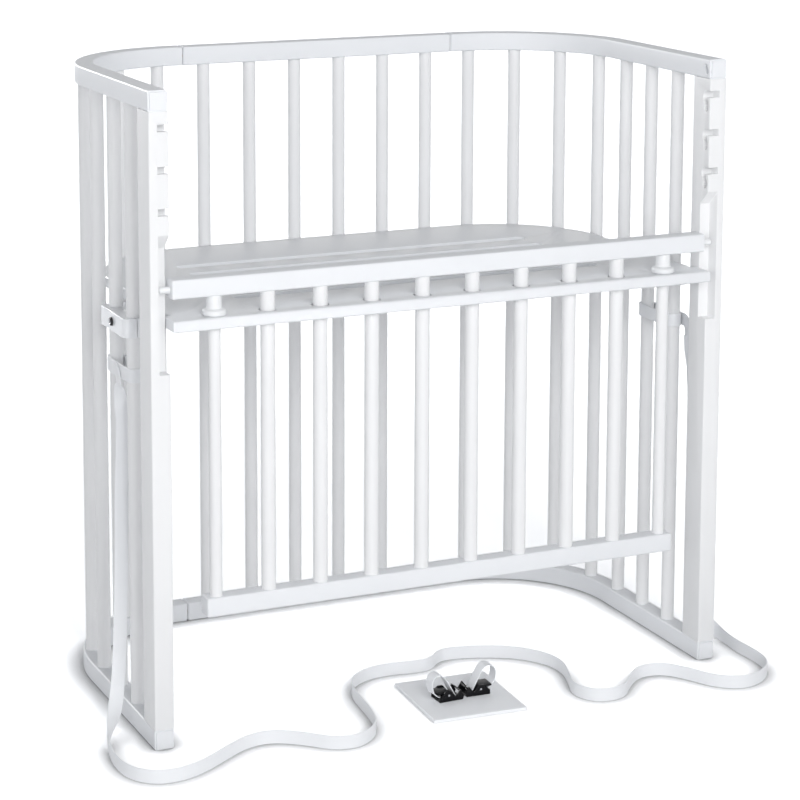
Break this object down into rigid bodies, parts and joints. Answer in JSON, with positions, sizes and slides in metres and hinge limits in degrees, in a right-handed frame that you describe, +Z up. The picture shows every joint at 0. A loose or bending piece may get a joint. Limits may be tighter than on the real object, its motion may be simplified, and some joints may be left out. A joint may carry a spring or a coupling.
{
  "type": "bedside sleeper crib",
  "caption": "White slatted bedside crib, U-shaped and open at the front, with a height-adjustable slotted board, a sliding front gate and a webbing strap.",
  "frame": {"origin": "centre of the U-shaped frame's footprint, on the floor", "axes": "+X to the right seen from the open front, +Y towards the back, +Z up"},
  "size_m": [1.0107, 0.6156, 0.909],
  "materials": {
    "lacquered_wood": "satin white lacquer",
    "raw_wood": "plain beech",
    "white_plastic": "matte white",
    "black_plastic": "semi-gloss black",
    "black_screw": "black oxide",
    "steel": "zinc",
    "webbing": "woven polyester webbing",
    "pad_board": "matte white"
  },
  "bodies": {
    "frame": {"base_rail_left": "lacquered_wood", "base_rail_back": "lacquered_wood", "base_rail_right": "lacquered_wood", "top_rail_left": "lacquered_wood", "top_rail_back": "lacquered_wood", "top_rail_right": "lacquered_wood", "rail_joint_dowels": "raw_wood", "post_dowels": "raw_wood", "front_post_left": "lacquered_wood", "front_post_right": "lacquered_wood", "spindle_01": "lacquered_wood", "spindle_02": "lacquered_wood", "spindle_03": "lacquered_wood", "spindle_04": "lacquered_wood", "spindle_05": "lacquered_wood", "spindle_06": "lacquered_wood", "spindle_07": "lacquered_wood", "spindle_08": "lacquered_wood", "spindle_09": "lacquered_wood", "spindle_10": "lacquered_wood", "spindle_11": "lacquered_wood", "spindle_12": "lacquered_wood", "spindle_13": "lacquered_wood", "spindle_14": "lacquered_wood", "spindle_15": "lacquered_wood", "spindle_16": "lacquered_wood", "spindle_17": "lacquered_wood", "spindle_18": "lacquered_wood", "spindle_19": "lacquered_wood", "spindle_20": "lacquered_wood", "strap_wrap_left": "webbing", "strap_wrap_right": "webbing", "strap": "webbing", "pad": "pad_board", "buckle_bodies": "black_plastic", "buckle_pins": "steel", "webbing_loops": "webbing"},
    "platform": {"mattress_board": "lacquered_wood", "clamp_outer_left": "lacquered_wood", "clamp_inner_left": "lacquered_wood", "clamp_outer_right": "lacquered_wood", "clamp_inner_right": "lacquered_wood", "clamp_screws": "black_screw", "board_screws": "steel", "gate_bushings": "white_plastic"},
    "gate": {"gate_top_rail": "lacquered_wood", "gate_bottom_rail": "lacquered_wood", "gate_bar_01": "lacquered_wood", "gate_bar_02": "lacquered_wood", "gate_bar_03": "lacquered_wood", "gate_bar_04": "lacquered_wood", "gate_bar_05": "lacquered_wood", "gate_bar_06": "lacquered_wood", "gate_bar_07": "lacquered_wood", "gate_bar_08": "lacquered_wood", "gate_bar_09": "lacquered_wood", "gate_bar_10": "lacquered_wood", "gate_pins": "white_plastic"},
    "lever_left": {"buckle_lever_left": "black_plastic"},
    "lever_right": {"buckle_lever_right": "black_plastic"}
  },
  "joints": [
    {"name": "platform_height", "type": "slide", "parent": "frame", "child": "platform", "axis": [0, 0, 1], "range_m": [-0.04, 0]},
    {"name": "gate_slide", "type": "slide", "parent": "platform", "child": "gate", "axis": [0, 0, 1], "range_m": [0, 0.055]},
    {"name": "lever_left_hinge", "type": "hinge", "parent": "frame", "child": "lever_left", "pos_m": [-0.00299, -0.24078, 0.0135], "axis": [0.0349, -0.9994, 0], "range_deg": [-60, 0]},
    {"name": "lever_right_hinge", "type": "hinge", "parent": "frame", "child": "lever_right", "pos_m": [0.05109, -0.23678, 0.0135], "axis": [0.0349, 0.9994, 0], "range_deg": [-60, 0]}
  ]
}
